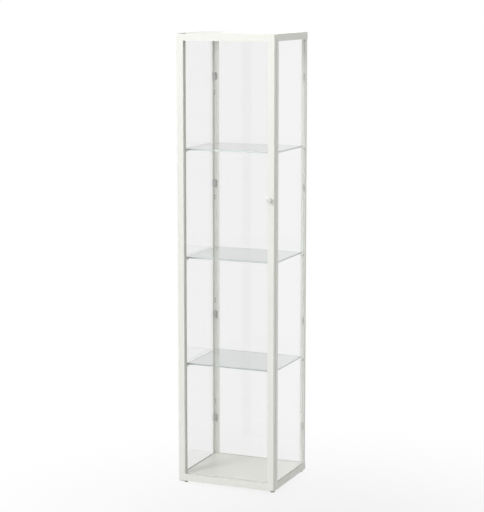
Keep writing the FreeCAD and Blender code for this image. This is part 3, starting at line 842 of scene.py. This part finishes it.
@dataclass(frozen=True)
class Screw(Turning):
    """A pan-head screw with a cross recess; its head's seat is at z = 0."""

    shank_radius: float
    shank_length: float
    head_radius: float
    head_height: float
    crown_share: float = 0.72
    shoulder_share: float = 0.93
    shoulder_rise_share: float = 0.82
    wall_share: float = 0.5
    point_share: float = 0.5
    tip_share: float = 0.55
    arm_share: float = 0.17
    arm_reach_share: float = 0.55
    recess_share: float = 0.62
    recess_taper: float = 0.7

    def rings(self) -> list[tuple[float, float]]:
        """A crowned head, the shank and its point.

        Returns:
            Radius and level of each ring.
        """
        head, height, shank = self.head_radius, self.head_height, self.shank_radius
        return [
            (self.crown_share * head, height),
            (self.shoulder_share * head, self.shoulder_rise_share * height),
            (head, self.wall_share * height), (head, 0.0), (shank, 0.0),
            (shank, self.point_share * shank - self.shank_length),
            (self.tip_share * shank, -self.shank_length),
        ]

    def work_crown(self, bm: bmesh.types.BMesh, before: set, crown: float) -> None:
        """Sink a cross into the crown.

        Args:
            bm: The mesh that holds the crown.
            before: Vertices that aren't part of this screw.
            crown: Radius of the crown.
        """
        half_arm, reach = self.arm_share * crown, self.arm_reach_share * crown
        for axis in (Vector((1, 0, 0)), Vector((0, 1, 0))):
            for offset in (-reach, -half_arm, half_arm, reach):
                verts = [vert for vert in bm.verts if vert not in before]
                edges = {edge for vert in verts for edge in vert.link_edges}
                faces = {face for vert in verts for face in vert.link_faces}
                bmesh.ops.bisect_plane(bm, geom=[*verts, *edges, *faces],
                                       plane_co=axis * offset, plane_no=axis)
        cross = []
        for face in bm.faces:
            if before & set(face.verts):
                continue
            x, y = (abs(part) for part in face.calc_center_median().xy)
            if max(x, y) < reach and min(x, y) < half_arm:
                cross.append(face)
        sunk = bmesh.ops.extrude_face_region(bm, geom=cross)["geom"]
        floor = [item for item in sunk if isinstance(item, bmesh.types.BMVert)]
        bmesh.ops.delete(bm, geom=cross, context="FACES_ONLY")
        bmesh.ops.scale(bm, vec=(self.recess_taper, self.recess_taper, 1.0), verts=floor)
        sink = self.recess_share * self.head_height
        bmesh.ops.translate(bm, vec=(0, 0, -sink), verts=floor)


@dataclass(frozen=True)
class PegShadeSleeve(Turning):
    """A blind, flanged sleeve pressed into a post's peg hole, its flange's seat at z = 0, whose black
    is painted shade in the hole.
    """

    flange_radius: float = 2.1 * MM
    flange_thick: float = 0.3 * MM
    outer_radius: float = 1.7 * MM
    mouth_radius: float = 1.4 * MM
    bore_radius: float = 1.25 * MM
    length: float = 2.4 * MM
    end_wall: float = 0.3 * MM
    edge_share: float = 0.5

    def rings(self) -> list[tuple[float, float]]:
        """The bore's floor and wall, a chamfered mouth, the flange and the outside.

        Returns:
            Radius and level of each ring.
        """
        return [
            (self.bore_radius, self.end_wall - self.length), (self.bore_radius, 0.0),
            (self.mouth_radius, self.flange_thick), (self.outer_radius, self.flange_thick),
            (self.flange_radius, self.edge_share * self.flange_thick), (self.flange_radius, 0.0),
            (self.outer_radius, 0.0), (self.outer_radius, -self.length),
        ]


@dataclass(frozen=True)
class PegShadeGrommet(Turning):
    """A soft grommet round a bracket's peg, proud of the bracket's plate at z = 0, whose black is
    painted shade at the peg hole.
    """

    foot_radius: float = 1.7 * MM
    lip_radius: float = 1.25 * MM
    core_radius: float = 0.9 * MM
    core_level: float = 0.1 * MM
    height: float = 0.6 * MM
    rim_share: float = 0.75
    shoulder_share: float = 0.9
    wall_share: float = 0.5

    def rings(self) -> list[tuple[float, float]]:
        """A sunk core, a rounded lip and a foot.

        Returns:
            Radius and level of each ring.
        """
        shoulder_radius = (self.lip_radius + self.foot_radius) / 2
        return [
            (self.core_radius, self.core_level), (self.core_radius, self.rim_share * self.height),
            (self.lip_radius, self.height), (shoulder_radius, self.shoulder_share * self.height),
            (self.foot_radius, self.wall_share * self.height), (self.foot_radius, 0.0),
        ]


class Facing(Enum):
    """Turns from the modelling direction +Z to a direction of the frame."""

    FRONT = Matrix.Rotation(math.radians(90), 4, "X")
    BACK = Matrix.Rotation(math.radians(-90), 4, "X")


@dataclass(frozen=True)
class Fixings:
    """A set of like small pieces in one mesh, which may stand for a solid of plain ones."""

    name: str
    pattern: Turning
    spots: tuple[tuple[Triple, Facing], ...]
    body: Body = Body.CARCASS
    slot: Slot = Slot.ZINC_STEEL
    finish: Finish = ZINC
    stands_for: Optional[str] = None

    def build(self) -> bpy.types.Object:
        """Model each one in place and set the piece on its body.

        Returns:
            The piece.
        """
        bm = bmesh.new()
        for spot, facing in self.spots:
            fresh = self.pattern.model(bm)
            bmesh.ops.transform(bm, matrix=Matrix.Translation(spot) @ facing.value, verts=fresh)
        piece = stand(self.name, bm, self.finish)
        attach(piece, self.body.value)
        if self.stands_for:
            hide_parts(self.stands_for)
        log.info("%s: %d on the %s", self.name, len(self.spots), self.body.value)
        return piece


# Sub-assemblies


CORNERS = ("front_left", "front_right", "back_left", "back_right")
LEVELS = ("lower", "middle", "upper")
ENDS = ("bottom", "top")


@dataclass
class Carcass:
    """The steel frame: top tray, base frame, floor panel, posts and what joins them."""

    def build(self) -> None:
        """Dress the frame."""
        dress(["top_tray", "base_frame", "base_panel"], WHITE_STEEL)
        dress([f"post_{corner}" for corner in CORNERS], WHITE_STEEL)
        dress(["frame_studs", "frame_nuts"], ZINC)


@dataclass
class Glazing:
    """The fixed panes, their corner clips and setting blocks."""

    screw_x: float = 165 * MM
    back_seat: float = 151.5 * MM
    front_seat: float = -110.5 * MM
    clip_levels: tuple[float, ...] = (161.5 * MM, 531.5 * MM, 991.5 * MM, 1361.5 * MM)
    screw: Screw = Screw(1.5 * MM, 7.5 * MM, 2.8 * MM, 2.0 * MM)

    def build(self) -> None:
        """Dress panes, clips and blocks, and model the clip screws."""
        glaze(["side_glass_left", "side_glass_right"], Axis.X, PANE)
        glaze(["back_glass"], Axis.Y, PANE)
        # The clips' grey is painted shade.
        dress(["glass_clips"], GREY_PLASTIC_AND_CLIP_SHADE)
        dress(["glass_setting_blocks"], RUBBER)
        spots = tuple(
            ((side * self.screw_x, seat, level), facing)
            for side in (-1, 1)
            for seat, facing in ((self.back_seat, Facing.FRONT), (self.front_seat, Facing.BACK))
            for level in self.clip_levels
        )
        Fixings("clip_screw_set", self.screw, spots, stands_for="clip_screws").build()


@dataclass
class Shelving:
    """Glass shelves on plug-in brackets with soft pads, and the posts' rows of peg holes."""

    peg_x: float = 166 * MM
    peg_spread: float = 9.6 * MM
    used_pairs: tuple[float, ...] = (399.5 * MM, 761.5 * MM, 1123.5 * MM)
    free_pairs: tuple[float, ...] = (218.5 * MM, 580.5 * MM, 942.5 * MM, 1304.5 * MM)
    back_face: float = 157.5 * MM
    front_face: float = -116.5 * MM
    plate_thick: float = 2 * MM

    def peg_spots(self, pairs: tuple[float, ...], rise: float) -> tuple[tuple[Triple, Facing], ...]:
        """Places of the peg holes on the four posts.

        Args:
            pairs: Levels of the hole pairs.
            rise: Height above the posts' inner faces.

        Returns:
            Each place with its direction.
        """
        faces = ((self.back_face - rise, Facing.FRONT), (self.front_face + rise, Facing.BACK))
        return tuple(
            ((side * self.peg_x, y, level + way * self.peg_spread / 2), facing)
            for side in (-1, 1) for y, facing in faces for level in pairs for way in (-1, 1)
        )

    def build(self) -> None:
        """Dress shelves, brackets and pads, and model what lines the peg holes: black sleeves and
        rings, painted shade in the holes.
        """
        glaze([f"shelf_{level}" for level in LEVELS], Axis.Z, SHELF)
        dress([f"shelf_brackets_{level}" for level in LEVELS], WHITE_PLASTIC)
        dress([f"shelf_pads_{level}" for level in LEVELS], CLEAR_PAD)
        free = self.peg_spots(self.free_pairs, 0.0)
        used = self.peg_spots(self.used_pairs, self.plate_thick)
        # Black rubber at the peg holes is painted shade in the holes.
        for name, pattern, spots in (("peg_hole_shade_sleeves", PegShadeSleeve(), free),
                                     ("bracket_peg_shade_rings", PegShadeGrommet(), used)):
            Fixings(name, pattern, spots, slot=Slot.RUBBER, finish=RUBBER).build()


@dataclass
class Door:
    """The framed glass door with its knob and the plugs in its stiles."""

    knob_x: float = 160.5 * MM
    back_y: float = -125 * MM
    knob_z: float = 982 * MM
    screw: Screw = Screw(2.0 * MM, 23 * MM, 3.5 * MM, 2.4 * MM)

    def build(self) -> None:
        """Dress the door and model the knob's screw."""
        dress(["door_stile_hinge_side", "door_stile_knob_side"], DOOR_STEEL)
        dress([f"door_rail_{end}" for end in ENDS], DOOR_STEEL)
        glaze(["door_glass"], Axis.Y, PANE)
        dress(["glazing_tape"], TAPE)
        dress([f"hinge_bush_{end}" for end in ENDS], WHITE_PLASTIC)
        dress(["stile_end_caps"], WHITE_PLASTIC)
        # The knob's grey coat is painted shade.
        dress(["knob"], SHADED_KNOB_COAT)
        spot = ((self.knob_x, self.back_y, self.knob_z), Facing.BACK)
        Fixings("knob_fixing_screw", self.screw, (spot,), Body.DOOR,
                stands_for="knob_screw").build()


@dataclass
class HingesAndCatch:
    """Pivot hinges at the door's left corners, and the magnet catch with its bumpers."""

    screw_xs: tuple[float, ...] = (-162.5 * MM, -153.5 * MM)
    seat_y: float = -120.5 * MM
    screw_zs: tuple[float, ...] = (21 * MM, 1502 * MM)
    screw: Screw = Screw(1.5 * MM, 5.5 * MM, 2.8 * MM, 0.8 * MM)

    def build(self) -> None:
        """Dress hinges and catch, and model the hinge screws."""
        dress([f"hinge_bracket_{end}" for end in ENDS], WHITE_STEEL)
        dress([f"hinge_pin_{end}" for end in ENDS], ZINC)
        dress(["magnet_cup"], WHITE_PLASTIC)
        dress(["magnet"], MAGNET)
        dress(["door_bumpers"], CLEAR_PAD)
        spots = tuple(((x, self.seat_y, z), Facing.FRONT)
                      for x in self.screw_xs for z in self.screw_zs)
        Fixings("hinge_screw_set", self.screw, spots, stands_for="hinge_screws").build()


@dataclass
class Feet:
    """The four moulded feet."""

    def build(self) -> None:
        """Dress the feet."""
        dress([f"foot_{corner}" for corner in CORNERS], GREY_PLASTIC_AND_CLIP_SHADE)


# Studio


WHITE = (1.0, 1.0, 1.0, 1.0)


@dataclass(frozen=True)
class Lamp:
    """A square soft box."""

    name: str
    place: Triple
    aim: Triple
    side: float
    power: float

    def build(self) -> None:
        """Hang the lamp and point it."""
        data = bpy.data.lights.new(self.name, "AREA")
        data.size = self.side
        data.energy = self.power
        lamp = bpy.data.objects.new(self.name, data)
        lamp.location = self.place
        beam = Vector(self.aim) - Vector(self.place)
        lamp.rotation_euler = beam.to_track_quat("-Z", "Y").to_euler()
        bpy.context.scene.collection.objects.link(lamp)
        log.info("lamp %s at %.1f W", self.name, self.power)


@dataclass(frozen=True)
class FloorPaint(Finish):
    """Pale studio floor that fades to white away from the cabinet, with a painted soft shade around a
    point at the cabinet's front right.
    """

    name: str = "studio_floor"
    tone: Rgb = (0.62, 0.62, 0.62)
    roughness: float = 0.75
    gloss: float = 0.2
    dapple_scale: float = 3.0
    dapple_share: float = 0.99
    dapple_swing: float = 0.1
    # Centre of the painted soft shade on the floor, at the cabinet's front right.
    middle: tuple[float, float] = (0.45, -0.45)
    white_share: float = 0.7
    fade_from: float = -0.3
    fade_to: float = 1.4

    def compose(self, net: ShaderNet) -> bpy.types.NodeSocket:
        """Lit paint near the cabinet, so that it keeps its shadow, and plain white further off; where
        the paint shows, it also paints a soft shade around the middle point.

        Args:
            net: The net to fill.

        Returns:
            The shader's socket.
        """
        x, y, _ = net.split(net.place())
        away = ((x - self.middle[0]) ** 2.0 + (y - self.middle[1]) ** 2.0) ** 0.5
        dapple = net.noise(net.place(), self.dapple_scale)
        paint = net.surface({
            "Base Color": net.mixed(dapple, toned(self.tone, self.dapple_share), self.tone),
            "Roughness": self.roughness + dapple.swing(self.dapple_swing),
            "Specular IOR Level": self.gloss,
        })
        white = net.node("ShaderNodeEmission", sockets={"Color": WHITE, "Strength": 1.0})
        # Painted shade: near the middle less white shows, so the floor is darker there under any
        # light.
        fade = away.ramp(self.fade_from, self.fade_to) * (1 - self.white_share)
        share = (self.white_share + fade) * net.seen_directly()
        return net.blend(share, paint, white.outputs[0])


@dataclass(frozen=True)
class Studio:
    """Floor, world and lamps."""

    floor_half: float = 40.0
    floor_cells: int = 8
    floor_level: float = -0.0002
    ambient: float = 0.43
    fade_start: float = 0.021
    upward_fade: float = 1.9
    ceiling_tone: float = 0.45
    bounces: int = 24
    lamps: tuple[Lamp, ...] = (
        Lamp("key_box", (-1.7, -3.8, 2.7), (0.0, 0.0, 1.0), 1.3, 80.0),
        Lamp("fill_box", (1.3, -4.5, 2.3), (0.0, 0.0, 1.0), 1.3, 32.0),
        Lamp("side_box", (3.2, 1.2, 2.4), (0.0, 0.0, 1.1), 1.6, 13.0),
        Lamp("back_box", (-0.9, 3.8, 2.9), (0.0, 0.0, 0.6), 1.6, 24.0),
        Lamp("top_box", (0.4, -0.6, 4.2), (0.0, 0.0, 0.6), 2.4, 26.0),
    )

    def build(self) -> None:
        """Lay the floor, light the world and hang the lamps."""
        bm = bmesh.new()
        bmesh.ops.create_grid(bm, x_segments=self.floor_cells, y_segments=self.floor_cells,
                              size=self.floor_half,
                              matrix=Matrix.Translation((0, 0, self.floor_level)))
        floor = stand("studio_floor", bm, FloorPaint())
        self.light_world()
        for lamp in self.lamps:
            lamp.build()
        scene = bpy.context.scene
        scene.view_settings.view_transform = "Standard"
        scene.cycles.max_bounces = self.bounces
        scene.cycles.transmission_bounces = self.bounces
        scene.cycles.transparent_max_bounces = self.bounces

    def light_world(self) -> None:
        """Show a backdrop, white at the horizon and greyer upwards, and light all evenly."""
        world = bpy.data.worlds.new("studio_world")
        world.use_nodes = True
        bpy.context.scene.world = world
        net = ShaderNet(world.node_tree)
        way = Signal(net, net.node("ShaderNodeTexCoord").outputs["Generated"])
        _, _, rise = net.split(way)
        climb = (rise - self.fade_start).most(0.0)
        backdrop = (1 - climb * self.upward_fade).most(self.ceiling_tone)
        seen = net.seen_directly()
        level = self.ambient * (1 - seen) + backdrop * seen
        sky = net.node("ShaderNodeBackground", sockets={"Color": WHITE, "Strength": level})
        net.show(sky.outputs[0], "ShaderNodeOutputWorld")


@dataclass(frozen=True)
class PhotoCamera:
    """The photograph's viewpoint, fitted to the cabinet's edges in a frame of 484 by 512."""

    place: Triple = (2.1698, -5.1770, 1.6610)
    yaw: float = math.radians(22.73)
    pitch: float = math.radians(8.339)
    lens: float = 119.06
    sensor: float = 36.0
    shift_y: float = -0.04

    def build(self) -> None:
        """Set up the camera."""
        data = bpy.data.cameras.new("photo_camera")
        data.lens, data.sensor_width, data.shift_y = self.lens, self.sensor, self.shift_y
        camera = bpy.data.objects.new("photo_camera", data)
        camera.location = self.place
        camera.rotation_euler = (math.radians(90) - self.pitch, 0.0, self.yaw)
        bpy.context.scene.collection.objects.link(camera)
        bpy.context.scene.camera = camera
        log.info("camera set")


def main() -> None:
    """Build the cabinet's sub-assemblies in order, then the studio."""
    logging.basicConfig(level=logging.INFO, format="%(message)s")
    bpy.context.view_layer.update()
    PhotoCamera().build()
    for part in (Carcass(), Glazing(), Shelving(), Door(), HingesAndCatch(), Feet(), Studio()):
        log.info("building %s", type(part).__name__)
        part.build()


if __name__ == "__main__":
    main()
